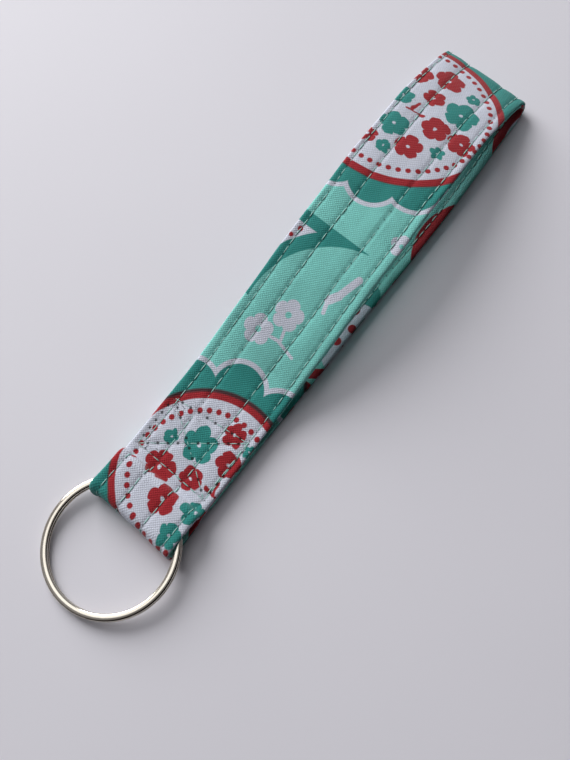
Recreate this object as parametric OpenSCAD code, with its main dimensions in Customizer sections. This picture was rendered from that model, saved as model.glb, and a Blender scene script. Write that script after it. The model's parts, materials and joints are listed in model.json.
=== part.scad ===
// Wristlet keychain: a quilted cotton band doubled into a wrist loop, with a
// split ring held in a small keeper at the sewn end.
// X runs across the band, Y from the ring to the far crease, Z up.
// The origin is under the middle of the whole object, on the table.
// Lengths along the band are measured from the keeper's fold.

/* [Band] */
// Width of the folded and topstitched band
band_w = 25.5; // [20:0.5:32]
// Thickness of the band, with its cloth and its interlining
band_t = 1.5; // [1.2:0.1:2]
// Thickness of the two layers of cotton on each face
cloth_t = 0.45; // [0.3:0.05:0.5]
// Width of the folded cloth outside each edge of the interlining
edge_fold = 1; // [0.6:0.1:2]
// Length from the keeper's fold to the far crease
strap_len = 151.5; // [115:0.5:190]

/* [Wrist loop] */
// Height of the upper band's crest above the table
crest_h = 17; // [13:0.5:24]
// Slope at which the upper band runs down to the far crease
crease_slope = 27; // [22:1:36]
// Clear height inside the far crease
crease_gap = 2.4; // [1.5:0.1:3.5]
// Share of the upper band's climb that leaves the box stitch hollow side up
hollow_share = 0.25; // [0.15:0.05:0.5]

/* [Sewn box] */
// Length of the band that comes down from the ring to the keeper's bend
keeper_run = 2.7; // [2.4:0.1:6]
// Length of the box stitch along the band
box_len = 17; // [12:0.5:24]
// Distance from each band edge to the long lines of the box stitch
box_inset = 1.8; // [1.4:0.1:4]
// Sewn-down band past each short line of the box stitch
box_margin = 1.5; // [1:0.1:3]

/* [Stitching] */
// Distance from the left edge to each row of topstitching, as shares of the width
row_shares = [0.1, 0.32, 0.63, 0.9];
// Width of a line of thread
thread_w = 0.5; // [0.3:0.05:0.8]
// Thickness of a line of thread
thread_t = 0.15; // [0.1:0.01:0.2]
// Thickness of the cloth left under the thread's bed
bed_skin = 0.05; // [0.03:0.01:0.1]

/* [Split ring] */
// How much wider the ring's hole is than the band
hole_spare = 5.7; // [3:0.1:14]
// Width of the ring's wire, measured outwards
wire_w = 1.9; // [1.5:0.1:2.2]
// Height of one turn of the ring's wire
wire_h = 1; // [0.7:0.05:1.2]
// Slit between the ring's two turns
turn_slit = 0.05; // [0.02:0.01:0.15]
// Angle that the step between the two turns takes
step_angle = 12; // [8:1:30]
// Slope of the ring across the band, as it lies
ring_roll = 2.5; // [0:0.1:3]

/* [Keeper] */
// Play between the ring and the cloth round it
ring_play = 0.2; // [0.15:0.05:0.4]
// Inside corner radius of the keeper's fold
fold_r = 0.6; // [0.4:0.1:1]
// Gap that lets the keeper bend at the box stitch
hinge_gap = 0.3; // [0.2:0.05:0.5]

/* [Hidden] */

slack = 0.02;                       // keeps a cut clear of the face it starts from
arc_sag = 0.03;                     // largest gap between an arc and its chords
half_t = band_t / 2;
core_t = band_t - 2 * cloth_t;
core_w = band_w - 2 * edge_fold;
roll_step = 15;                     // degrees between the points of the keeper's roll
bed_w = thread_w + 0.1;             // bed for the thread, with its play
bed_floor = half_t - cloth_t + bed_skin; // height of the bed's floor over mid-thickness
row_x = [for (share = row_shares) (share - 0.5) * band_w];

// The sewn stack: loop end, tail and upper band
stack_z = [half_t, 3 * half_t, 5 * half_t];
stack_h = 3 * band_t;
hinge_z = 2 * band_t;               // between the tail and the upper band
hinge_r = band_t;
hem = 0.5;                          // sewn stack in front of the box's near line

// The band passes through the ring's hole with its near corners in the rim
hole_r = (band_w + hole_spare) / 2;
ring_r = hole_r + wire_w;
ring_h = 2 * wire_h + turn_slit;
corner_reach = sqrt(hole_r * hole_r - band_w * band_w / 4);
fold_clear = fold_r * (1 - cos(45)); // room that the fold's inside corners take
ring_y = band_t + ring_play + fold_clear - corner_reach;
ring_back = ring_y + ring_r;        // the ring's edge inside the keeper
roof_y = ring_back + ring_play;

// Along the band: the keeper's bend, the root of the sewn stack, box and tail
hinge_y = roof_y + keeper_run;
root_y = hinge_y + hinge_r + hinge_gap;
box_start = root_y + hem;
box_end = box_start + box_len;
tail_end = box_end + box_margin;

// The ring lies on the table at its front edge and on the keeper's floor at its
// back, and leans a little to one side. Its slope along the band, from those two
// rests, solves rise = floor_rise for the wire over the floor's lowest corner.
floor_rise = band_t + ring_play + band_w / 2 * sin(ring_roll);
rest_a = ring_r * ring_r - corner_reach * corner_reach;
rest_b = floor_rise * corner_reach;
rest_c = pow(ring_r * sin(ring_roll), 2) - pow(floor_rise, 2);
ring_pitch = asin((sqrt(rest_b * rest_b - rest_a * rest_c) - rest_b) / rest_a);
ring_normal = [
    -sin(ring_roll) * cos(ring_pitch), -sin(ring_pitch), cos(ring_roll) * cos(ring_pitch)
];
ring_lean = acos(ring_normal[2]);
ring_z = ring_r * sin(ring_lean) + ring_h / 2 * cos(ring_lean);
ring_top = 2 * ring_z;

// The whole object, from the ring's front edge to the far crease
front_y = ring_y - ring_r * cos(ring_pitch) - ring_h / 2 * sin(ring_pitch);
mid_y = (front_y + strap_len) / 2;

// A path is a list of states [y, z, heading]. A piece of it is [length], or
// [radius, turn] for an arc, with a left turn positive.
function line_end(s, d) = [s[0] + d * cos(s[2]), s[1] + d * sin(s[2]), s[2]];
function arc_end(s, r, turn) =
    let (side = sign(turn), h = s[2] + turn)
    [s[0] + side * r * (sin(h) - sin(s[2])), s[1] - side * r * (cos(h) - cos(s[2])), h];
function piece_states(s, piece) =
    len(piece) == 1
        ? [line_end(s, piece[0])]
        : let (n = ceil(abs(piece[1]) / (2 * acos(1 - arc_sag / piece[0]))))
          [for (k = [1:n]) arc_end(s, piece[0], piece[1] * k / n)];
function walk(s, pieces, i = 0) =
    i == len(pieces)
        ? [s]
        : let (next = piece_states(s, pieces[i]))
          concat([s], [for (k = [0:1:len(next) - 2]) next[k]], walk(next[len(next) - 1], pieces, i + 1));

// Points at a distance to the left of a path
function beside(path, d) = [for (s = path) [s[0] - d * sin(s[2]), s[1] + d * cos(s[2])]];
function backwards(list) = [for (i = [len(list) - 1:-1:0]) list[i]];

// An S-bend between two parallel runs, as two equal arcs
function s_angle(rise, run) = 2 * atan(rise / run);
function s_bend(rise, run, side) =
    let (a = s_angle(rise, run), r = run / (2 * sin(a)))
    [[r, side * a], [r, -side * a]];

// Wrist loop: out along the table, round the far crease, up over the crest and
// down to the sewn stack
crease_r = crease_gap / 2 + half_t;
crease_y = strap_len - crease_r - half_t;
crest_z = crest_h - half_t;
crease_top_z = half_t + crease_r * (1 + cos(crease_slope));
crest_r = (crest_z - crease_top_z) / (1 - cos(crease_slope));
crest_y = crease_y + crease_r * sin(crease_slope) - crest_r * sin(crease_slope);
climb_y = tail_end + box_margin;    // where the upper band leaves the stack
climb_turn = s_angle(crest_z - stack_z[2], crest_y - climb_y);
climb_r = (crest_y - climb_y) / sin(climb_turn);
loop_path = walk([root_y, stack_z[0], 0], [
    [crease_y - root_y],
    [crease_r, 180 - crease_slope],
    [crest_r, crease_slope],
    [climb_r * (1 - hollow_share), climb_turn],
    [climb_r * hollow_share, -climb_turn],
    [climb_y - root_y]
]);
tail_path = [[root_y, stack_z[1], 0], [tail_end, stack_z[1], 0]];

// Keeper: from the hinge over the ring, round the fold and back under the ring
roof_z = ring_top + ring_play + half_t;
fold_mid_r = fold_r + half_t;
keeper_path = walk([hinge_y, stack_z[2], 180], concat(
    s_bend(roof_z - stack_z[2], hinge_y - roof_y, -1),
    [
        [roof_y - half_t - fold_mid_r],
        [fold_mid_r, 90],
        [roof_z - half_t - 2 * fold_mid_r],
        [fold_mid_r, 90],
        [hinge_y - half_t - fold_mid_r - 2 * band_t]
    ],
    s_bend(stack_z[1] - half_t, 2 * band_t, 1)
));

// Band between two distances from a path, centred across the width
module band(path, width, a, b) {
    rotate([90, 0, 90])
        translate([0, 0, -width / 2])
            linear_extrude(height = width)
                polygon(concat(beside(path, a), backwards(beside(path, b))));
}

module folded_band(path) {
    difference() {
        band(path, band_w, half_t, -half_t);
        band(path, core_w, core_t / 2, -core_t / 2);
    }
}

module in_frame() {
    translate([0, -mid_y, 0]) children();
}

// Beds for the four rows of thread, on one face of the band
module row_beds(path, face) {
    for (x = row_x)
        translate([x, 0, 0])
            band(path, bed_w, face * (half_t + slack), face * bed_floor);
}

module thread_row(path, x) {
    for (face = [1, -1])
        translate([x, 0, 0])
            band(path, thread_w, face * (bed_floor + thread_t), face * bed_floor);
}

// Box stitch with its two diagonals, as a flat pattern
module box_x_pattern(width) {
    reach = band_w / 2 - box_inset;
    diagonal = atan2(box_len, 2 * reach);
    difference() {
        translate([-reach - width / 2, box_start - width / 2])
            square([2 * reach + width, box_len + width]);
        translate([-reach + width / 2, box_start + width / 2])
            square([2 * reach - width, box_len - width]);
    }
    for (side = [1, -1])
        translate([0, box_start + box_len / 2])
            rotate(side * diagonal)
                square([norm([2 * reach, box_len]), width], center = true);
}

module box_beds() {
    for (z = [-slack, stack_h - thread_t])
        translate([0, 0, z])
            linear_extrude(height = thread_t + slack)
                box_x_pattern(bed_w);
}

module strap_cover() {
    color("mediumseagreen")
        in_frame()
            difference() {
                folded_band(loop_path);
                row_beds(loop_path, 1);
                row_beds(loop_path, -1);
                box_beds();
            }
}

module strap_interlining() {
    color("ivory")
        in_frame()
            band(loop_path, core_w, core_t / 2, -core_t / 2);
}

module tail_cover() {
    color("seagreen")
        in_frame()
            folded_band(tail_path);
}

module tail_interlining() {
    color("ivory")
        in_frame()
            band(tail_path, core_w, core_t / 2, -core_t / 2);
}

module topstitch_row(i) {
    color("honeydew")
        in_frame()
            thread_row(loop_path, row_x[i]);
}

module box_x_stitch() {
    color("mintcream")
        in_frame()
            for (z = [0, stack_h - thread_t])
                translate([0, 0, z])
                    linear_extrude(height = thread_t)
                        box_x_pattern(thread_w);
}

// The keeper in profile: its outer face closed by a roll on the hinge's line,
// and its pocket for the ring
module keeper_profile() {
    roll = [for (a = [-90 + roll_step:roll_step:90 - roll_step])
        [hinge_y + hinge_r * cos(a), hinge_z + hinge_r * sin(a)]];
    difference() {
        polygon(concat(beside(keeper_path, -half_t), roll));
        polygon(beside(keeper_path, half_t));
    }
}

module keeper_cover() {
    color("mediumseagreen")
        in_frame()
            difference() {
                rotate([90, 0, 90])
                    translate([0, 0, -band_w / 2])
                        linear_extrude(height = band_w)
                            keeper_profile();
                band(keeper_path, core_w, core_t / 2, -core_t / 2);
                row_beds(keeper_path, -1);
            }
}

module keeper_interlining() {
    color("ivory")
        in_frame()
            band(keeper_path, core_w, core_t / 2, -core_t / 2);
}

module keeper_topstitch() {
    color("honeydew")
        in_frame()
            for (x = row_x)
                translate([x, 0, 0])
                    band(keeper_path, thread_w, -bed_floor - thread_t, -bed_floor);
}

// One turn's wire in section, with its corners rounded
module wire_section() {
    corner = wire_h * 0.3;
    translate([hole_r, 0]) {
        translate([corner, 0]) square([wire_w - 2 * corner, wire_h]);
        translate([0, corner]) square([wire_w, wire_h - 2 * corner]);
        for (x = [corner, wire_w - corner], z = [corner, wire_h - corner])
            translate([x, z]) circle(r = corner, $fn = 24);
    }
}

module split_ring() {
    color("silver")
        in_frame()
            translate([0, ring_y, ring_z])
                rotate([ring_pitch, -ring_roll, 0]) {
                    for (z = [turn_slit / 2, -turn_slit / 2 - wire_h])
                        translate([0, 0, z])
                            rotate_extrude($fn = 144) wire_section();
                    rotate([0, 0, 90 - step_angle / 2])
                        rotate_extrude(angle = step_angle, $fn = 144)
                            translate([hole_r + wire_w * 0.15, -wire_h])
                                square([wire_w * 0.7, 2 * wire_h]);
                }
}

strap_cover();
strap_interlining();
tail_cover();
tail_interlining();
topstitch_row(0);  // topstitch_row_1
topstitch_row(1);  // topstitch_row_2
topstitch_row(2);  // topstitch_row_3
topstitch_row(3);  // topstitch_row_4
box_x_stitch();
keeper_cover();
keeper_interlining();
keeper_topstitch();
split_ring();
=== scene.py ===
# %% [markdown]
# # A quilted wristlet keychain
# This lesson dresses a finished CAD frame. The real thing is one long strip of
# printed cotton, folded in quarters round an interlining, topstitched in four
# rows, doubled into a wrist loop and sewn down with a boxed cross that holds a
# split ring. Everything is in metres and stands where the frame stands.

# %% Load the frame
import json
import math
import random

import bmesh
import bpy
from mathutils import Matrix, Vector, noise


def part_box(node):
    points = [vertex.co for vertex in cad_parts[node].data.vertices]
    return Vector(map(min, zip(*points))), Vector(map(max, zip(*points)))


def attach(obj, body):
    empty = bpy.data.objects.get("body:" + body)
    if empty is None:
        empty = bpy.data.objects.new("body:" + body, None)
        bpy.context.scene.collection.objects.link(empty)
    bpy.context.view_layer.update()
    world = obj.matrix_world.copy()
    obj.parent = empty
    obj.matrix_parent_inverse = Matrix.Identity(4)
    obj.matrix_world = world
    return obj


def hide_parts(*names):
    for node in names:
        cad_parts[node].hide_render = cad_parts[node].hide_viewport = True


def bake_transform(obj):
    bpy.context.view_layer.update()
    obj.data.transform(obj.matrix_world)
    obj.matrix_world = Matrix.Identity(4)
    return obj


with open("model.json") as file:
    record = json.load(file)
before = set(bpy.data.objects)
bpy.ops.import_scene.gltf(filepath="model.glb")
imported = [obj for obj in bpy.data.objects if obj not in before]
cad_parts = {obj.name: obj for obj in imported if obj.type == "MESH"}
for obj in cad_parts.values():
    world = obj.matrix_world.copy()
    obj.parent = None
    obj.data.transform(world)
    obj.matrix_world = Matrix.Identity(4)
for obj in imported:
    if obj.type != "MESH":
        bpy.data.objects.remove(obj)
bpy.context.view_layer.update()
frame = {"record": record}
MM = 0.001
random.seed(7)

# %% [markdown]
# ## The strip's route
# The frame gives the fold of the keeper, the table and the far crease. The strip
# starts under the box stitch, runs out along the table, turns at the far crease,
# climbs over the crest, goes round the ring and comes back as the tail. A route of
# straight runs and arcs says the same thing in a dozen numbers, in millimetres,
# and any point of the strip is then found by its distance along the route.

# %% Sizes that the frame gives
fold_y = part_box("keeper_cover")[0].y
crease_end = (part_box("strap_cover")[1].y - fold_y) / MM
crest_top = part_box("strap_cover")[1].z / MM
root_y = (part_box("strap_cover")[0].y - fold_y) / MM
tail_end = (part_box("tail_cover")[1].y - fold_y) / MM
roof_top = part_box("keeper_cover")[1].z / MM
band_w = (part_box("strap_cover")[1].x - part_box("strap_cover")[0].x) / MM
half_w = band_w / 2
band_t = 1.5
half_t = band_t / 2
print("band", round(band_w, 2), "crease at", round(crease_end, 2), "roof", round(roof_top, 2))

# %% Route as runs and arcs
crease_slope = math.radians(27)
crease_r = 1.95
fold_r = 1.35
quarter = math.pi / 2
bend_y = root_y - 1.8
roof_start = bend_y - 2.7
under_run = 3.0
hollow_share = 0.25
stack = [half_t, half_t + band_t, half_t + 2 * band_t]
climb_y = tail_end + 1.5
roof_z = roof_top - half_t
crease_y = crease_end - crease_r - half_t
crest_z = crest_top - half_t
top_z = half_t + crease_r * (1 + math.cos(crease_slope))
crest_r = (crest_z - top_z) / (1 - math.cos(crease_slope))
crest_y = crease_y + (crease_r - crest_r) * math.sin(crease_slope)


def s_bend(rise, run, side):
    """Two equal arcs that step the strip up or down."""
    turn = 2 * math.atan(rise / run)
    radius = run / (2 * math.sin(turn))
    return [(radius, side * turn), (radius, -side * turn)]


climb = 2 * math.atan((crest_z - stack[2]) / (crest_y - climb_y))
climb_r = (crest_y - climb_y) / math.sin(climb)
route = [(crease_y - root_y,), (crease_r, math.pi - crease_slope), (crest_r, crease_slope),
         (climb_r * (1 - hollow_share), climb), (climb_r * hollow_share, -climb),
         (climb_y - root_y,),
         (root_y - bend_y,)]
route += s_bend(roof_z - stack[2], bend_y - roof_start, -1)
route += [(roof_start - half_t - fold_r,), (fold_r, quarter),
          (roof_z - half_t - 2 * fold_r,), (fold_r, quarter),
          (bend_y - half_t - fold_r - under_run,)]
route += s_bend(stack[1] - half_t, under_run, 1)
route += [(root_y - bend_y,), (tail_end - root_y,)]

# %% Walk the route
route_step = 0.25
states = [(0.0, root_y, stack[0], 0.0)]
for piece in route:
    run, y, z, heading = states[-1]
    length = piece[0] if len(piece) == 1 else piece[0] * abs(piece[1])
    steps = max(1, math.ceil(length / route_step))
    for k in range(1, steps + 1):
        share = k / steps
        if len(piece) == 1:
            state = (y + share * length * math.cos(heading),
                     z + share * length * math.sin(heading), heading)
        else:
            side = math.copysign(piece[0], piece[1])
            turned = heading + piece[1] * share
            state = (y + side * (math.sin(turned) - math.sin(heading)),
                     z - side * (math.cos(turned) - math.cos(heading)), turned)
        states.append((run + length * share, *state))
strip_len = states[-1][0]
fold_run = min(states, key=lambda state: state[1])[0]
crease_run = max(states, key=lambda state: state[1])[0]
print("strip", round(strip_len, 1), "mm, fold at", round(fold_run, 1))


def on_route(run):
    """Place and heading (y, z, heading) at a distance along the strip."""
    run = min(max(run, 0.0), strip_len)
    low, high = 0, len(states) - 1
    while high - low > 1:
        middle = (low + high) // 2
        low, high = (middle, high) if states[middle][0] <= run else (low, middle)
    a, b = states[low], states[high]
    share = (run - a[0]) / (b[0] - a[0])
    return tuple(p + (q - p) * share for p, q in zip(a[1:], b[1:]))


def along(points, x):
    """A value read from a short list of (place, value) pairs, eased between them."""
    if x <= points[0][0]:
        return points[0][1]
    for (x0, v0), (x1, v1) in zip(points, points[1:]):
        if x <= x1:
            share = (x - x0) / (x1 - x0)
            return v0 + (v1 - v0) * share * share * (3 - 2 * share)
    return points[-1][1]


# %% [markdown]
# ## How the real strip lies
# Cloth is never as straight as its pattern. The strap bows a little sideways, its
# left edge stands a little higher, and the keeper's fold is pulled askew by the
# ring. One function places every point of the strip, thread and interlining, so
# that they all share the same lie and stay together.

# %% Place a point of the strip
sideways = [(-35, 0.3), (0, 0.5), (45, 0.4), (75, 1.7), (95, 2.0), (115, 1.4), (140, 0.4),
            (153, 0.1), (165, 1.0), (200, 1.8), (245, 1.2), (290, 0.4)]
crease_lift = [(110, 0.0), (150, 1.0)]
free_height = 4.5
left_rise, right_drop = (0.8, 0.4), (0.4, 0.8)
askew, askew_lost = 0.75, 0.25
corner_pull, lip, flare = 0.5, 0.7, 0.7
lip_at, lip_width, flare_from = 0.93, 0.1, 0.55


def near_fold(u, reach):
    """One at the keeper's fold, falling away within a distance either side."""
    return math.exp(-(u / reach) ** 2)


def place(run, x, n):
    """Point at a distance along the strip, x across it and n out of its outer face."""
    y, z, heading = on_route(run)
    u = fold_run - run
    y += n * math.sin(heading)
    z -= n * math.cos(heading)
    t = x / half_w
    free = min(max(z / free_height, 0), 1)
    far = min(max(y / crease_end, 0), 1)
    near_tilt, more_tilt = left_rise if t < 0 else right_drop
    z += (along(crease_lift, y) - t * (near_tilt + more_tilt * far)) * free
    y -= t * (askew - askew_lost * far) + corner_pull * max(t, 0) ** 2 * near_fold(u, 25)
    y -= lip * math.exp(-((t + lip_at) / lip_width) ** 2) * near_fold(u, 3)
    corner = max(0, -t - flare_from) / (1 - flare_from)
    x += along(sideways, u) - flare * corner ** 2 * near_fold(u, 7)
    return Vector((x * MM, fold_y + y * MM, z * MM))


print("fold at", [round(c / MM, 2) for c in place(fold_run, 0, half_t)], "mm")

# %% Turn a small piece to lie on the strip
probe = 0.2


def turned_at(run, x, n, heading):
    """Frame of a small piece on the strip, its long side at a heading from the strip's."""
    here = place(run, x, n)
    ahead = (place(run + probe, x, n) - place(run - probe, x, n)).normalized()
    across = (place(run, x + probe, n) - place(run, x - probe, n)).normalized()
    long_way = ahead * math.cos(heading) + across * math.sin(heading)
    out = (place(run, x, n + probe) - place(run, x, n - probe)).normalized()
    side = out.cross(long_way).normalized()
    out = long_way.cross(side)
    turn = Matrix((long_way, side, out)).transposed().to_4x4()
    return Matrix.Translation(here) @ turn


# %% [markdown]
# ## The stitch lines
# Four rows run the whole length, not quite straight, as sewn by hand and eye. The
# box and its cross are sewn last, through the whole stack. The cloth is drawn in
# along every line, so the lines are settled before the cloth is made.

# %% Rows and box
row_lines = [
    [(0, 2.3), (25, 2.9), (60, 2.6), (95, 1.9), (120, 1.4), (151, 1.3)],
    [(0, 8.6), (25, 8.6), (45, 8.2), (75, 8.0), (95, 7.9), (120, 7.8), (151, 7.3)],
    [(0, 16.3), (20, 16.8), (50, 17.0), (75, 17.4), (95, 17.5), (120, 18.0), (151, 18.1)],
    [(0, 23.2), (45, 23.5), (75, 23.1), (95, 23.0), (120, 23.3), (151, 23.1)],
]
crease_u = fold_run - crease_run


def row_x(row, run):
    """Place across the strip of a row, in millimetres from the middle."""
    u = fold_run - run
    if u > crease_u:
        u = 2 * crease_u - u
    return along(row_lines[row], abs(u)) - half_w


stack_run = next(s[0] for s in states if s[0] > crease_run and s[1] < climb_y)
box_side, box_near, box_far = half_w - 1.8, root_y + 0.5, root_y + 17.8
box_slant = 3.0
box_corners = [(-box_side, box_near), (box_side, box_near),
               (box_side, box_far), (-box_side, box_far - box_slant)]
stitch_pitch, box_pitch = 2.75, 2.5
box_lines = [(box_corners[k], box_corners[(k + 1) % 4]) for k in range(4)]
box_lines += [(box_corners[0], box_corners[2]), (box_corners[1], box_corners[3])]


def to_box(x, y):
    """Signed distance to the nearest line of the box, and the way along it."""
    best = (99.0, 0.0)
    for (x0, y0), (x1, y1) in box_lines:
        length = math.hypot(x1 - x0, y1 - y0)
        ex, ey = (x1 - x0) / length, (y1 - y0) / length
        way = (x - x0) * ex + (y - y0) * ey
        gap = (x - x0) * ey - (y - y0) * ex
        over = max(-way, way - length, 0)
        if math.hypot(gap, over) < abs(best[0]):
            spacing = length / round(length / box_pitch)
            best = (math.copysign(math.hypot(gap, over), gap), way / spacing * stitch_pitch)
    return best


top_root = next(s[0] for s in states if s[0] > crease_run and s[1] <= root_y)
print("crease at", round(crease_run, 1), "stack", round(stack_run, 1), "to", round(top_root, 1))

# %% [markdown]
# ## The printed cotton
# A flat grid is the natural start for a strip: its long way becomes the route and
# its short way goes round the folded section, from the open edge on the right,
# over the outer face, round the left fold and back along the inner face. Its
# rows of points are then moved where the cloth lies: swollen between the rows of
# stitching, drawn in along them, and puckered by the thread. Each point carries
# its place on the print and its distance to the nearest stitch line.

# %% Section of the folded strip
face_n, fold_round, open_round = 0.73, 0.55, 0.4
edge_points = [(half_w - 0.45, 0.05), (half_w - 0.12, 0.1),
               (half_w, 0.38), (half_w - 0.14, 0.62)]
flat_points, fold_points = 50, 4


def section():
    """Points (x, n, print place) round the folded strip."""
    start, end = half_w - open_round, -half_w + fold_round
    outer = edge_points + [(start + (end - start) * k / flat_points, face_n)
                           for k in range(flat_points + 1)]
    outer = [(x, n, x + half_w) for x, n in outer]
    for k in range(1, fold_points + 1):
        turn = quarter * k / fold_points
        n = face_n * math.cos(turn)
        outer.append((end - fold_round * math.sin(turn), n, 0.4 * n))
    return outer + [(x, -n, -v) for x, n, v in reversed(outer[:-1])]


cloth_points = section()
print("section of", len(cloth_points), "points")

# %% Pucker of the quilting
groove_depth, groove_width, swell_height = 0.27, 0.5, 0.10
ripple_height, wave_height, pucker_reach = 0.16, 0.22, 2.6
box_reach = 2


def pucker(run, x, n):
    """How far the cloth moves in or out at a place, with its stitch distance."""
    gaps = [x - row_x(row, run) for row in range(4)]
    gap, way, boxed = min(gaps, key=abs), run, 0
    y, z, _ = on_route(run)
    sewn = n > 0 and (stack_run < run < top_root or run < box_far - root_y + box_reach)
    if sewn and box_near - box_reach < y < box_far + box_reach:
        box_gap, box_way = to_box(x, y)
        if abs(box_gap) < abs(gap):
            gap, way, boxed = box_gap, box_way, 1
    pull = 0.8 + 0.2 * math.cos(2 * math.pi * way / stitch_pitch)
    groove = -groove_depth * math.exp(-(gap / groove_width) ** 2) * pull
    swell = swell_height * min(abs(gap) / 3, 1)
    face = 1 if n > 0 else -1
    ripple = noise.noise(Vector((run / 3.1, x / 9, face * 5)))
    ripple *= ripple_height * math.exp(-(gap / pucker_reach) ** 2)
    ripple += noise.noise(Vector((run / 13, x / 7, face * 9))) * wave_height
    on_table = z < 1 and face > 0
    if on_table:
        ripple, swell = min(ripple, 0) * 0.4, 0
    edge = max(min((half_w - abs(x)) / 1.5, 1), 0.15)
    return (groove + swell + ripple) * edge * (abs(n) / face_n) ** 0.5, gap, way, boxed


# %% Lay the cloth along the route
def laid_strip(name, steps, points, from_run, to_run, shape):
    """A closed strip: a grid with one way along the route and one round a section."""
    bm = bmesh.new()
    place_layer = bm.verts.layers.float_vector.new("strip_mm")
    stitch_layer = bm.verts.layers.float_vector.new("stitch")
    bmesh.ops.create_grid(bm, x_segments=steps, y_segments=len(points), size=0.5)
    count = len(points)
    for vert in bm.verts:
        run = from_run + (vert.co.x + 0.5) * (to_run - from_run)
        k = round((vert.co.y + 0.5) * count) % count
        x, n, v = points[k]
        move, gap, way, boxed = shape(run, x, n)
        vert[place_layer] = (fold_run - run, v, 0)
        vert[stitch_layer] = (gap, way, boxed)
        vert.co = place(run, x, n + math.copysign(1, n) * move)
    bmesh.ops.remove_doubles(bm, verts=bm.verts, dist=1e-7)
    rims = [edge for edge in bm.edges if edge.is_boundary]
    bmesh.ops.holes_fill(bm, edges=rims, sides=0)
    bmesh.ops.triangulate(bm, faces=[face for face in bm.faces if len(face.verts) > 4])
    bmesh.ops.recalc_face_normals(bm, faces=bm.faces)
    return finish_mesh(bm, name)


def finish_mesh(bm, name):
    """A smooth object of this name from a bmesh."""
    for face in bm.faces:
        face.smooth = True
    mesh = bpy.data.meshes.new(name)
    bm.to_mesh(mesh)
    bm.free()
    piece = bpy.data.objects.new(name, mesh)
    bpy.context.collection.objects.link(piece)
    print(name, len(mesh.polygons), "faces")
    return piece


cotton = laid_strip("printed_band", 470, cloth_points, 0, strip_len, pucker)

# %% [markdown]
# ## The interlining
# A thin strip of fleece inside the folded cotton gives the band its body. It only
# shows at the raw ends, but it belongs to the object, so it is laid in the same
# way, as a plain thin strip with square edges.

# %% Lay the interlining
core_w, core_n, core_short = half_w - 1.2, 0.22, 0.05
core = [(core_w - 2 * core_w * k / 8, core_n, 0) for k in range(9)]
core += [(x, -n, 0) for x, n, _ in reversed(core)]


def lying_flat(run, x, n):
    """No pucker: the interlining keeps its thickness."""
    return 0, 0, 0, 0


fleece = laid_strip("interlining_strip", 300, core,
                    core_short, strip_len - core_short, lying_flat)

# %% [markdown]
# ## The stitches
# Each stitch is a short plump length of thread whose ends dive into the cloth, so a
# stretched little ball with few faces is enough, and many hundreds stay light.
# They are spread along the lines with a slight unevenness, on both faces of the
# band where it is free.

# %% Sew along a line
row_depth, box_depth = 0.57, 0.5
row_stitch, box_stitch = 2.3, 1.9


def stitch(bm, run, x, n, heading, length):
    """One stitch, a little askew, lying n out of the strip's middle."""
    size = Matrix.Diagonal((length / 2 * MM, 0.17 * MM, 0.15 * MM, 1))
    skew = heading + random.uniform(-0.04, 0.04)
    matrix = turned_at(run, x, n, skew) @ size @ Matrix.Rotation(quarter, 4, "Y")
    bmesh.ops.create_uvsphere(bm, u_segments=6, v_segments=6, radius=1, matrix=matrix)


def sew_row(bm, row, from_run, to_run, face):
    """Stitches of one row between two places, on the outer or the inner face."""
    run = (math.ceil(from_run / stitch_pitch) + 0.5) * stitch_pitch
    while run < to_run - stitch_pitch / 2:
        here = run + random.uniform(-0.06, 0.06)
        x = row_x(row, run) + random.uniform(-0.05, 0.05)
        stitch(bm, here, x, face * row_depth, 0.0, row_stitch)
        run += stitch_pitch


rows = []
for row in range(4):
    bm = bmesh.new()
    sew_row(bm, row, 0.5, top_root, 1)
    sew_row(bm, row, tail_end - root_y + 1, stack_run, -1)
    rows.append(finish_mesh(bm, f"topstitch_{row + 1}"))
bm = bmesh.new()
for row in range(4):
    sew_row(bm, row, top_root, strip_len - (tail_end - root_y), 1)
keeper_rows = finish_mesh(bm, "keeper_stitches")

# %% Sew the box and its cross
bm = bmesh.new()
for (x0, y0), (x1, y1) in box_lines:
    length = math.hypot(x1 - x0, y1 - y0)
    heading = math.atan2(x1 - x0, y1 - y0)
    count = round(length / box_pitch)
    for k in range(count):
        share = (k + 0.5) / count
        x, y = x0 + (x1 - x0) * share, y0 + (y1 - y0) * share
        stitch(bm, top_root - (y - root_y), x, box_depth, math.pi - heading, box_stitch)
        stitch(bm, y - root_y, x, box_depth, heading, box_stitch)
box_stitches = finish_mesh(bm, "box_stitches")

# %% [markdown]
# ## The split ring
# A split ring is a flat spring wire wound twice, with a jog where it steps from one
# turn to the other and two blunt ends. Spinning a flattened round section through
# two turns while it climbs gives the wire. The climb is then gathered into the jog,
# so that the turns lie flat on each other everywhere else.

# %% Wind the ring
spin_joint = next(j for j in frame["record"]["behaviour"]["joints"] if j["name"] == "ring_spin")
ring_centre, ring_axis = Vector(spin_joint["pos_m"]), Vector(spin_joint["axis"])
ring_r, wire_w, wire_h, slit = 17.5, 1.9, 1.0, 0.05
squareness = 0.88
full_turn = 2 * math.pi
turn_steps = 2 * 120
step_climb = 10 * MM
jog = math.radians(24)
rise = (wire_h + slit) * MM
bm = bmesh.new()
bmesh.ops.create_circle(bm, cap_ends=True, segments=24, radius=1)
for vert in bm.verts:
    vert.co.x, vert.co.y = (math.copysign(abs(c) ** squareness, c) for c in vert.co.xy)
section_size = Matrix.Diagonal((wire_w / 2 * MM, wire_h / 2 * MM, 1, 1))
section_place = Matrix.Translation(((ring_r - wire_w / 2) * MM, 0, 0))
bmesh.ops.transform(bm, verts=bm.verts,
                    matrix=section_place @ Matrix.Rotation(quarter, 4, "X") @ section_size)
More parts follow.
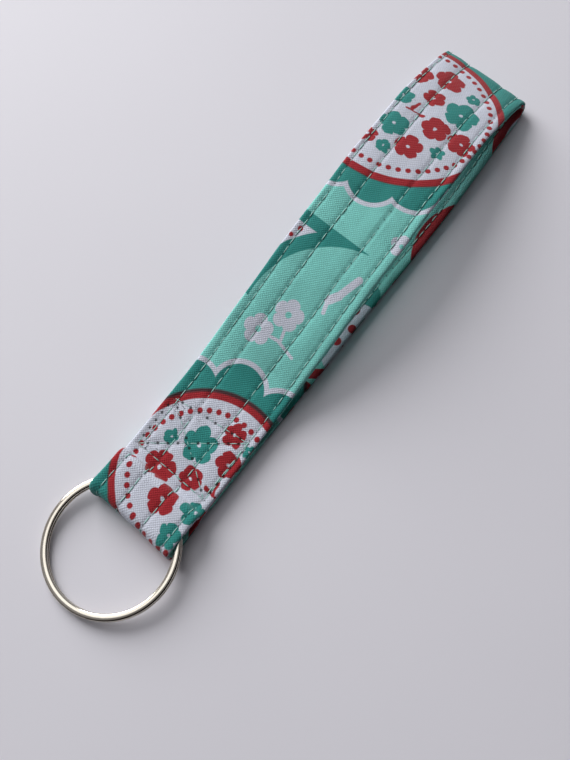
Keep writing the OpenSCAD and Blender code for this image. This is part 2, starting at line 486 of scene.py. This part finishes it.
bmesh.ops.spin(bm, geom=bm.faces[:], axis=(0, 0, 1), cent=(0, 0, 0), dvec=(0, 0, step_climb),
               angle=2 * full_turn, steps=turn_steps, use_duplicate=False)


def turned_so_far(vert):
    """Angle wound so far, told from the climb and the place round the ring."""
    here = math.atan2(vert.co.y, vert.co.x) % full_turn
    wound = vert.co.z / step_climb * 2 * full_turn / turn_steps
    return here + round((wound - here) / full_turn) * full_turn


for vert in bm.verts:
    wound = turned_so_far(vert)
    climbed = wound / (2 * full_turn) * turn_steps * step_climb
    share = min(max((wound - full_turn + jog / 2) / jog, 0), 1)
    vert.co.z += -climbed + rise * (share * share * (3 - 2 * share) - 0.5)
bmesh.ops.recalc_face_normals(bm, faces=bm.faces)
lean = Vector((0, 0, 1)).rotation_difference(ring_axis).to_matrix().to_4x4()
bmesh.ops.transform(bm, verts=bm.verts, matrix=Matrix.Translation(ring_centre) @ lean
                    @ Matrix.Rotation(quarter, 4, "Z"))
ring = finish_mesh(bm, "wound_ring")

# %% [markdown]
# ## Shader maths in plain words
# The print is drawn by the material itself, from each point's place on the strip.
# A small class lets that maths be written as ordinary expressions, and one method
# adds any other node.

# %% A value on its way through a material
class Flow:
    """One value in a material, with the arithmetic that nodes can do to it."""

    def __init__(self, tree, socket):
        self.tree, self.socket = tree, socket

    def node(self, kind, settings, values, out=0):
        made = self.tree.nodes.new(kind)
        for key, value in settings.items():
            setattr(made, key, value)
        for key, value in values.items():
            if isinstance(value, Flow):
                self.tree.links.new(value.socket, made.inputs[key])
            else:
                made.inputs[key].default_value = value
        return Flow(self.tree, made.outputs[out])

    def math(self, operation, *others, first=None, clamp=False):
        values = dict(enumerate((self if first is None else first, *others)))
        return self.node("ShaderNodeMath", {"operation": operation, "use_clamp": clamp}, values)

    def vector(self, operation, other=(0, 0, 0), out=0):
        values = {0: self, 1: other}
        return self.node("ShaderNodeVectorMath", {"operation": operation}, values, out)

    def __add__(self, other):
        return self.math("ADD", other)

    def __radd__(self, other):
        return self.math("ADD", other)

    def __sub__(self, other):
        return self.math("SUBTRACT", other)

    def __rsub__(self, other):
        return self.math("SUBTRACT", self, first=other)

    def __mul__(self, other):
        return self.math("MULTIPLY", other)

    def __rmul__(self, other):
        return self.math("MULTIPLY", other)

    def least(self, other):
        return self.math("MINIMUM", other)

    def most(self, other):
        return self.math("MAXIMUM", other)

    def inside(self, blur=0.12):
        return self.math("MULTIPLY_ADD", -0.5 / blur, 0.5, clamp=True)

    def tint(self, under, over):
        return self.node("ShaderNodeMix", {"data_type": "RGBA"}, {0: self, 6: under, 7: over}, 2)


def plain(flow, colour):
    """One colour everywhere, for motifs to be drawn over."""
    return flow.node("ShaderNodeMix", {"data_type": "RGBA"}, {0: 0.0, 6: colour, 7: colour}, 2)


# %% Colours and materials
def srgb(red, green, blue):
    """A colour as the eye names it, from 0 to 255, made linear."""
    def linear(c):
        c /= 255
        return c / 12.92 if c <= 0.04045 else ((c + 0.055) / 1.055) ** 2.4
    return (linear(red), linear(green), linear(blue), 1)


def new_material(name, **constants):
    """A material, its shader with these constants, and a start for its maths."""
    made = bpy.data.materials.new(name)
    made.use_nodes = True
    shader = made.node_tree.nodes["Principled BSDF"]
    for key, value in constants.items():
        shader.inputs[key.replace("_", " ")].default_value = value
    print("material", name, constants)
    return made, shader, Flow(made.node_tree, None)


def feed(shader, socket, flow):
    """Lead a value to one of the shader's inputs."""
    flow.tree.links.new(flow.socket, shader.inputs[socket])


def bumped(height, strength, distance):
    """The surface's direction, tipped by a height."""
    values = {"Strength": strength, "Distance": distance, "Height": height}
    return height.node("ShaderNodeBump", {}, values)


# %% [markdown]
# ## The print
# The cotton carries a garden print: large round medallions with a red rim, a ring
# of dots and scattered five-petalled flowers, each in a scalloped green surround
# on mint, and white blossoms and leaves between them. Every motif is a distance:
# below zero is inside. A flower is a circle whose radius swings five times round,
# a leaf is a line with a width, and scallops are circles repeated round a centre.

# %% Motifs as distances
def wrapped(flow, centre, across, up):
    """Place on the cloth relative to a motif that repeats across and along it."""
    u, v = flow
    p = (u - centre[0]).math("WRAP", across / 2, -across / 2)
    q = (v - centre[1]).math("WRAP", up / 2, -up / 2)
    return p, q


def joined(p, q):
    """Two values as one place."""
    return p.node("ShaderNodeCombineXYZ", {}, {0: p, 1: q})


def split(at):
    """A place as two values."""
    return (at.node("ShaderNodeSeparateXYZ", {}, {0: at}, 0),
            at.node("ShaderNodeSeparateXYZ", {}, {0: at}, 1))


def length_of(at):
    """Distance from the origin."""
    return at.vector("LENGTH", out="Value")


petals, petal_root, petal_tip = 5, 0.76, 0.34


def flower(at, centre, size, turn):
    """Distance to a five-petalled flower, and to its middle."""
    offset = at.vector("SUBTRACT", (*centre, 0))
    r = length_of(offset)
    p, q = split(offset)
    swing = q.math("ARCTAN2", p).math("MULTIPLY_ADD", petals / 2, turn)
    swing = swing.math("COSINE").math("ABSOLUTE").math("SQRT")
    return r - swing.math("MULTIPLY_ADD", petal_tip * size, petal_root * size), r


def bouquet(at, flowers, eye_share=0.14):
    """Nearest flower of several, and nearest middle."""
    near = middle = None
    for x, y, size, turn in flowers:
        outline, r = flower(at, (x, y), size, turn)
        eye = r - eye_share * size
        near = outline if near is None else near.least(outline)
        middle = eye if middle is None else middle.least(eye)
    return near, middle


def stroke(at, a, b, width):
    """Distance to a line with round ends."""
    way = (b[0] - a[0], b[1] - a[1], 0)
    squared = way[0] ** 2 + way[1] ** 2
    offset = at.vector("SUBTRACT", (*a, 0))
    share = offset.vector("DOT_PRODUCT", way, out="Value").math("DIVIDE", squared, clamp=True)
    nearest = share.node("ShaderNodeVectorMath", {"operation": "SCALE"}, {0: way, 3: share})
    return length_of(offset.vector("SUBTRACT", nearest)) - width


def ringed(p, q, count, radius, turn, size):
    """Distance to the nearest of many discs set round a circle."""
    step = 2 * math.pi / count
    angle = (q.math("ARCTAN2", p) + turn).math("WRAP", step / 2, -step / 2)
    r = length_of(joined(p, q))
    x = r * angle.math("COSINE") - radius
    y = r * angle.math("SINE")
    return length_of(joined(x, y)) - size


# %% Colours of the print
mint = srgb(122, 201, 193)
green = srgb(35, 131, 125)
red = srgb(153, 20, 32)
dark_red = srgb(62, 28, 34)
white = srgb(198, 203, 217)
thread_colour = srgb(160, 204, 196)
print("mint is", [round(c, 3) for c in mint], "made linear")

# %% [markdown]
# The two medallions differ in size and in their flowers, and the layout repeats
# beyond them, so the underside and the inside of the loop are printed too.

# %% One medallion
repeat_u, repeat_v = 221.6, 62.0
inset, outline_w, shadow_w, dot_r = 1.5, 1.25, 2.1, 0.72
wobble_rate, wobble_mm = 0.36, 1.6


def medallion(colour, place_on_cloth, centre, plan):
    """A scalloped surround, a shadowed red rim, a ring of dots and a bouquet."""
    p, q = wrapped(place_on_cloth, centre, repeat_u, repeat_v)
    p = (p - q * plan["slant"]) * plan["squeeze"]
    at = joined(p, q)
    r = length_of(at)
    lobes = ringed(p, q, plan["lobes"], plan["lobe_at"], plan["lobe_turn"], plan["lobe_r"])
    scallop = lobes.least(r - plan["lobe_at"] - inset)
    if "fill" in plan:
        fill_x, fill_y, fill_r = plan["fill"]
        fill = length_of(at.vector("SUBTRACT", (fill_x, fill_y, 0))) - fill_r
        scallop = scallop.least(fill)
    colour = (scallop - outline_w).inside().tint(colour, white)
    colour = scallop.inside().tint(colour, green)
    tight = p.most(0) * plan["tight"]
    shadow = length_of(at.vector("SUBTRACT", (plan["shadow"], 0, 0)))
    shadow = shadow + tight - plan["rim"] - shadow_w
    colour = shadow.inside(0.25).tint(colour, dark_red)
    colour = (r + tight - plan["rim"] - plan["red_w"]).inside(0.25).tint(colour, red)
    colour = (r + tight - plan["rim"]).inside().tint(colour, white)
    dots = ringed(p, q, plan["dots"], plan["dots_at"], 0.0, dot_r)
    settings = {"Vector": at, "Scale": wobble_rate, "Detail": 1.0}
    wobble = at.node("ShaderNodeTexNoise", {}, settings, "Color")
    wobble = wobble.vector("SUBTRACT", (0.5, 0.5, 0.5))
    at = at.vector("ADD", wobble.vector("MULTIPLY", (wobble_mm, wobble_mm, 0)))
    reds, red_eyes = bouquet(at, plan["red"])
    for a, b, width in plan["sprig"]:
        reds = reds.least(stroke(at, a, b, width))
    colour = dots.least(reds).inside().tint(colour, red)
    greens, green_eyes = bouquet(at, plan["green"])
    colour = greens.inside().tint(colour, green)
    return red_eyes.least(green_eyes).inside().tint(colour, white)


near_plan = {
    "squeeze": 0.96, "slant": 0.0, "tight": 0.0, "shadow": 0.5, "red_w": 1.6,
    "rim": 20.4, "dots": 46, "dots_at": 17.5,
    "lobes": 12, "lobe_at": 23.6, "lobe_r": 6.8, "lobe_turn": math.radians(16),
    "red": [(-2.6, -10.2, 3.9, 0.3), (-9.0, -3.8, 3.5, 1.0), (0.0, -2.2, 2.8, 2.0),
            (14.2, -0.4, 2.8, 0.6), (8.0, 3.0, 3.0, 1.6), (-2, 12, 3.2, 0.4),
            (10.0, 10.5, 2.7, 1.2)],
    "green": [(4.5, -12.6, 1.7, 0.2), (7.3, -5.6, 4.1, 0.9), (-13.9, 2.9, 2.7, 0.5),
              (-6.2, 4.2, 3.2, 1.4), (13.4, 5.4, 1.6, 0.1), (4.4, 9.6, 2.3, 0.8)],
    "sprig": [((0.7, 2.2), (0.7, 3.0), 0.55), ((0.8, 3.5), (0.2, 6.6), 0.22),
              ((0.6, 4.6), (3.2, 3.8), 0.4)],
}
far_plan = {
    "squeeze": 1.054, "slant": 0.07, "tight": 0.045, "shadow": -0.1, "red_w": 2.0,
    "rim": 24.8, "dots": 56, "dots_at": 22.3, "fill": (9.0, 8.0, 26.0),
    "lobes": 16, "lobe_at": 27.0, "lobe_r": 6.6, "lobe_turn": math.radians(13.4),
    "red": [(-12.6, 8.0, 3.5, 0.5), (-3.2, 10.7, 3.6, 1.1), (-3.1, 18.1, 3.4, 0.2),
            (6.0, 5.0, 2.8, 1.9), (15.0, 4.8, 3.8, 0.7), (-15.5, -2.6, 2.4, 1.0),
            (11.5, -2.6, 3.3, 0.3)],
    "green": [(-16.3, 2.7, 1.9, 0.4), (-8.6, 1.3, 3.6, 1.3), (-9.6, 14.6, 1.9, 0.9),
              (5.6, 13.6, 4.4, 0.2), (13.4, 12.8, 1.9, 1.5), (1.4, -1.8, 2.9, 0.6)],
    "sprig": [((-1.7, 4.8), (-1.7, 5.6), 0.55), ((-1.7, 1.0), (-1.6, 4.6), 0.22),
              ((-1.3, 2.2), (1.6, 3.0), 0.45)],
}
print("rims", near_plan["rim"], "and", far_plan["rim"], "mm, repeat", repeat_u, "by", repeat_v)


# %% Between the medallions
def between(colour, place_on_cloth):
    """Blossoms, a ribbon leaf and a pointed frond on the mint ground."""
    p, q = wrapped(place_on_cloth, (76, 12.5), repeat_u / 2, repeat_v)
    at = joined(p, q)
    arc = length_of(at.vector("SUBTRACT", (-8.5, 12.0, 0)))
    frond = (23.5 - arc).most(p - 14.7).most(-11.0 - p).most(arc - 40).most(q - 7.2)
    colour = frond.inside().tint(colour, green)
    gap = (27.3 - arc).most(p - 11.4).most(1.5 - p).most(arc - 36)
    colour = gap.inside().tint(colour, white)
    berry = length_of(at.vector("SUBTRACT", (9.8, -10.6, 0))) - 0.7
    berry = berry.least(length_of(at.vector("SUBTRACT", (7.3, -11.6, 0))) - 0.6)
    colour = berry.inside().tint(colour, red)
    blossoms, middle = bouquet(
        at, [(-16, -4.2, 3.6, 0.9), (-8.8, -0.1, 3.7, 0.3), (21.2, 12.4, 2.7, 0.6)], 0.22)
    for a, b, width in [
            ((-15.7, -1), (-15.3, 1.5), 0.45), ((-15.3, 1.5), (-16.6, 7.0), 0.4),
            ((-15.0, 2.2), (-12.0, 1.3), 0.4), ((-3.2, 6.6), (0.2, 5.6), 0.55),
            ((0.0, 5.9), (2.2, 7.4), 1.1), ((2, 7.3), (8.2, 9.2), 0.95)]:
        blossoms = blossoms.least(stroke(at, a, b, width))
    colour = blossoms.most(q - 20).inside().tint(colour, white)
    return middle.inside().tint(colour, mint)


# %% Along the open edge of the lower band
def lower_edge(colour, place_on_cloth):
    """A red-rimmed petal and a white patch with dots on the inside of the loop."""
    p, q = wrapped(place_on_cloth, (200, -25.5), repeat_u, repeat_v)
    at = joined(p, q)
    patch_colour = plain(colour, mint)
    leaf = stroke(at, (35, -2), (28, 3), 3.0).least(stroke(at, (-27, -3), (-35, 2), 3.2))
    patch_colour = leaf.inside().tint(patch_colour, green)
    patch = stroke(at, (35, 0.5), (46, -1), 4.4)
    patch_colour = patch.inside().tint(patch_colour, white)
    berries = ringed(p - 39.0, q - 8.0, 9, 7.4, 0.3, 1.15)
    berries = berries.least(stroke(at, (50, -3), (54, 2), 1.3))
    patch_colour = berries.inside().tint(patch_colour, red)
    rim = length_of(at.vector("SUBTRACT", (4, -13.0, 0)))
    patch_colour = (rim - 16.4).inside().tint(patch_colour, red)
    patch_colour = (rim - 11.5).inside().tint(patch_colour, white)
    petal = length_of(at.vector("SUBTRACT", (-34, -14, 0)))
    patch_colour = (petal - 17.2).inside().tint(patch_colour, red)
    patch_colour = (petal - 14.4).inside().tint(patch_colour, white)
    near_edge = (p.math("ABSOLUTE") - 56).most(q.math("ABSOLUTE") - 9)
    return near_edge.inside().tint(colour, patch_colour)


# %% [markdown]
# ## Cotton as a material
# Quilting cotton is a matt plain weave of about three threads to the millimetre. The
# weave is two crossing waves in the bump, with a slight unevenness in colour. Painted
# shade marks a small dark spot in the needle hole at each end of a stitch and darkens
# the cloth where the rows draw it in, and a pale highlight is painted along the far crease.

# %% Printed cotton
near_centre, far_centre = (20.8, 20.0), (131.5, 3.0)
# sizes and depths of the painted shade in the needle holes and along the rows
hole_shade_r, box_hole_shade_more, hole_shade_depth, seam_shade_depth = 0.19, 0.22, 0.85, 0.14
weave_mm, weave_shade = 0.74, 0.15
cotton_material, shader, start = new_material(
    "printed_cotton", Sheen_Weight=0.15, Sheen_Roughness=0.6, Specular_IOR_Level=0.25)
at = start.node("ShaderNodeAttribute", {"attribute_name": "strip_mm"}, {}, "Vector")
u, v = split(at)
colour = plain(u, mint)
colour = between(colour, (u, v))
colour = medallion(colour, (u, v), near_centre, near_plan)
colour = medallion(colour, (u, v), far_centre, far_plan)
colour = lower_edge(colour, (u, v))
mottle = at.node("ShaderNodeTexNoise", {},
                 {"Vector": at, "Scale": 0.55, "Detail": 5.0, "Roughness": 0.65})
fibre = at.node("ShaderNodeTexNoise", {}, {"Vector": at, "Scale": 3.4, "Detail": 3.0})
shade = mottle.math("MULTIPLY_ADD", 0.16, 0.92) * fibre.math("MULTIPLY_ADD", 0.22, 0.89)
stitch_at = at.node("ShaderNodeAttribute", {"attribute_name": "stitch"}, {}, "Vector")
gap, way = split(stitch_at)
# painted shade: a dark spot at each end of a stitch, where the needle hole is
hole_shade = length_of(joined(gap * 1.1, way.math("PINGPONG", stitch_pitch / 2)))
boxed = stitch_at.node("ShaderNodeSeparateXYZ", {}, {0: stitch_at}, 2)
hole_shade = (hole_shade - hole_shade_r - boxed * box_hole_shade_more).inside(0.14)
# painted shade: the cloth darkened along the rows where the thread draws it in
seam_shade = gap.math("ABSOLUTE").math("MULTIPLY_ADD", -1.6, 1.0, clamp=True)
shade = shade * (1 - hole_shade * hole_shade_depth) * (1 - seam_shade * seam_shade_depth)
# painted highlight: a pale streak along the far crease, broken up by the mottle
crease_gap = (u - crease_u).math("ABSOLUTE")
crease_highlight = crease_gap.math("MULTIPLY_ADD", -1.4, 1.0, clamp=True) * mottle
colour = crease_highlight.tint(colour, srgb(206, 222, 220))
thread_rate = full_turn / weave_mm
slub = at.node("ShaderNodeTexNoise", {}, {"Vector": at, "Scale": 1.3, "Detail": 2.0})
warp = (u * thread_rate + slub * 3.0).math("SINE")
weft = (v * thread_rate + slub * 3.0).math("SINE")
weave = warp * weft + fibre * 0.8
shade = shade * weave.math("MULTIPLY_ADD", weave_shade, 0.96)
colour = shade.node("ShaderNodeVectorMath", {"operation": "SCALE"}, {0: colour, 3: shade})
feed(shader, "Base Color", colour)
feed(shader, "Roughness", fibre.math("MULTIPLY_ADD", 0.2, 0.75))
feed(shader, "Normal", bumped(weave, 0.6, 0.07 * MM))

# %% [markdown]
# ## Thread, fleece and ring
# The thread is pale polyester with a twist that catches light. The fleece is matt
# and off-white. The ring is nickel plate on steel, bright and a little warm, with
# fine polishing marks and faint smudges.

# %% Thread
thread_material, shader, start = new_material(
    "sewing_thread", Roughness=0.55, Specular_IOR_Level=0.4)
at = start.node("ShaderNodeTexCoord", {}, {}, "Object")
twist = at.node("ShaderNodeTexNoise", {}, {"Vector": at, "Scale": 2600.0, "Detail": 2.0})
feed(shader, "Base Color", twist.tint(srgb(126, 172, 166), thread_colour))
feed(shader, "Normal", bumped(twist, 0.4, 0.04 * MM))

# %% Fleece
fleece_material, shader, start = new_material("fleece_interlining", Roughness=0.95)
at = start.node("ShaderNodeTexCoord", {}, {}, "Object")
lint = at.node("ShaderNodeTexNoise", {}, {"Vector": at, "Scale": 900.0, "Detail": 6.0})
feed(shader, "Base Color", lint.tint(srgb(198, 196, 186), srgb(240, 238, 230)))
feed(shader, "Normal", bumped(lint, 0.5, 0.1 * MM))

# %% Nickel
nickel, shader, start = new_material("bright_nickel", Metallic=1.0)
at = start.node("ShaderNodeTexCoord", {}, {}, "Object")
marks = at.node("ShaderNodeTexNoise", {}, {"Vector": at, "Scale": 700.0, "Detail": 4.0})
smudge = at.node("ShaderNodeTexNoise", {}, {"Vector": at, "Scale": 120.0, "Detail": 3.0})
feed(shader, "Base Color", smudge.tint(srgb(206, 198, 184), srgb(232, 226, 214)))
feed(shader, "Roughness", smudge.math("MULTIPLY_ADD", 0.10, 0.07))
feed(shader, "Normal", bumped(marks, 0.08, 0.05 * MM))

# %% Put each finish on its pieces
for piece, material in [(cotton, cotton_material), (fleece, fleece_material), (ring, nickel),
                        (box_stitches, thread_material), (keeper_rows, thread_material),
                        *[(row, thread_material) for row in rows]]:
    piece.data.materials.append(material)
    print(piece.name, "wears", material.name)

# %% [markdown]
# ## What moves with what
# The loop and the sewn stack are one body, the keeper bends at the near line of the
# box, and the ring turns in the keeper. The cotton, fleece and keeper's stitches
# cross that bend; they stay where they are laid and ride with neither body.

# %% Ride, or stay where laid
before_bend, after_bend = 0.6, 2.6
bend_from = (0, fold_y + (root_y + before_bend) * MM, 3 * MM)
bend_to = (0, fold_y + (bend_y - after_bend) * MM, 3 * MM)
for piece, nodes, slot in [
        (cotton, ("strap_cover", "tail_cover", "keeper_cover"), "printed_cotton"),
        (fleece, ("strap_interlining", "tail_interlining", "keeper_interlining"), "interlining"),
        (keeper_rows, ("keeper_topstitch",), "thread")]:
    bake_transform(piece)
    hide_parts(*nodes)
for k, row in enumerate(rows):
    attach(row, "strap")
    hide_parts(f"topstitch_row_{k + 1}")
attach(box_stitches, "strap")
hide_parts("box_x_stitch")
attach(ring, "ring")
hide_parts("split_ring")
strip_len * MM
print("bend from", round(root_y + before_bend, 2), "to", round(bend_y - after_bend, 2), "mm")

# %% [markdown]
# ## Table, light and camera
# The keychain lies on a pale table in soft daylight from the upper left, so one
# large soft lamp does most of the work. The surroundings are bright above and on
# the window's side and dark on the other, which gives the nickel its dark band.

# %% Table
bm = bmesh.new()
bmesh.ops.create_grid(bm, x_segments=1, y_segments=1, size=3)
table = finish_mesh(bm, "pale_table")
table_material, shader, start = new_material("table_top", Roughness=0.6)
at = start.node("ShaderNodeTexCoord", {}, {}, "Object")
cloudy = at.node("ShaderNodeTexNoise", {}, {"Vector": at, "Scale": 9.0, "Detail": 2.0})
feed(shader, "Base Color", cloudy.tint(srgb(213, 212, 220), srgb(219, 218, 226)))
table.data.materials.append(table_material)

# %% Surroundings
world = bpy.data.worlds.new("daylight_room")
bpy.context.scene.world = world
world.use_nodes = True
sky = Flow(world.node_tree, None)
background = world.node_tree.nodes["Background"]
way_out = sky.node("ShaderNodeTexCoord", {}, {}, "Generated")
height = sky.node("ShaderNodeSeparateXYZ", {}, {0: way_out}, 2)
window_side = way_out.vector("DOT_PRODUCT", (-0.95, 0.3, 0.0), out="Value")
level = (height * 1.3 + window_side * 1.5 - 0.35).least(1).most(0)
room_dark, room_bright = srgb(36, 28, 23), srgb(226, 224, 228)
sky_colour = level.tint(room_dark, room_bright)
world.node_tree.links.new(sky_colour.socket, background.inputs["Color"])
background.inputs["Strength"].default_value = 0.40
print("surroundings from", [round(c, 3) for c in room_dark[:3]], "to",
      [round(c, 3) for c in room_bright[:3]])

# %% Lamps
def lamp(name, at, size, power, colour):
    """A round lamp that looks at the middle of the keychain."""
    light = bpy.data.lights.new(name, "AREA")
    light.shape, light.size, light.energy, light.color = "DISK", size, power, colour
    made = bpy.data.objects.new(name, light)
    made.location = at
    made.rotation_euler = (Vector((0, 0, 0)) - Vector(at)).to_track_quat("-Z", "Y").to_euler()
    bpy.context.collection.objects.link(made)
    print(name, "lamp of", power, "W")


lamp("window", (-1.44, 0.50, 0.84), 1.5, 41.5, (1.0, 0.99, 0.98))
lamp("ceiling", (-0.42, 0.0, 1.12), 0.8, 1.8, (1.0, 1.0, 1.0))

# %% Camera
turn, tip, roll = (math.radians(a) for a in (-50.83, 70.06, -14.19))
eye = Vector((73.9 * MM, fold_y - 2.8 * MM, 236.2 * MM))
lens = bpy.data.cameras.new("camera")
camera = bpy.data.objects.new("camera", lens)
bpy.context.collection.objects.link(camera)
bpy.context.scene.camera = camera
lens.sensor_width, lens.lens = 36.0, 47.37
lens.clip_start, lens.clip_end = 0.01, 10
look = Vector((math.sin(turn) * math.cos(tip), math.cos(turn) * math.cos(tip), -math.sin(tip)))
right = look.cross(Vector((0, 0, 1))).normalized()
up = right.cross(look)
side = right * math.cos(roll) + up * math.sin(roll)
top = up * math.cos(roll) - right * math.sin(roll)
camera.matrix_world = Matrix.Translation(eye) @ Matrix((side, top, -look)).transposed().to_4x4()
bpy.context.scene.view_settings.view_transform = "Standard"
print("camera at", [round(c, 3) for c in eye])
